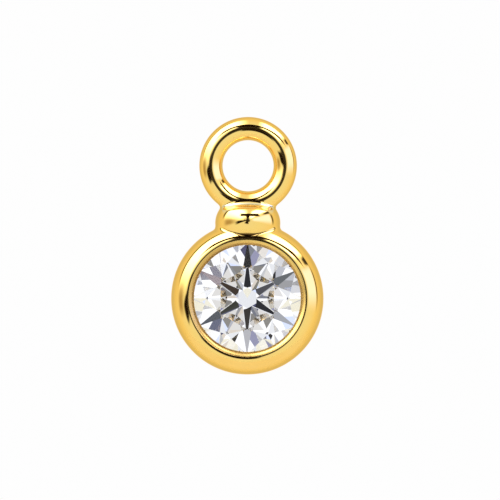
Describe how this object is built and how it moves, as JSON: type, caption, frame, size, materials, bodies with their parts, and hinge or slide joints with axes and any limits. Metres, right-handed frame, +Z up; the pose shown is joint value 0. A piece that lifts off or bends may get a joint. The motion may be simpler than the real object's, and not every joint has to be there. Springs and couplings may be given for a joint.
{
  "type": "bezel-set earring charm",
  "caption": "Polished gold charm drop for an earring: round wire loop, rounded collar bead and deep bezel round a clear brilliant-cut stone, with an open back.",
  "frame": {"origin": "centre of the hanging loop's hole, in the middle of the wire's thickness", "axes": "+Z up along the drop as it hangs, +Y from the stone's face to the open back, +X to the right seen from the front"},
  "size_m": [0.0068, 0.0033, 0.0116],
  "materials": {
    "gold": "mirror-polished yellow gold, cast and soldered in one piece",
    "stone": "clear, colourless, faceted and polished"
  },
  "bodies": {
    "root": {"setting": "gold", "stone": "stone"}
  },
  "joints": []
}
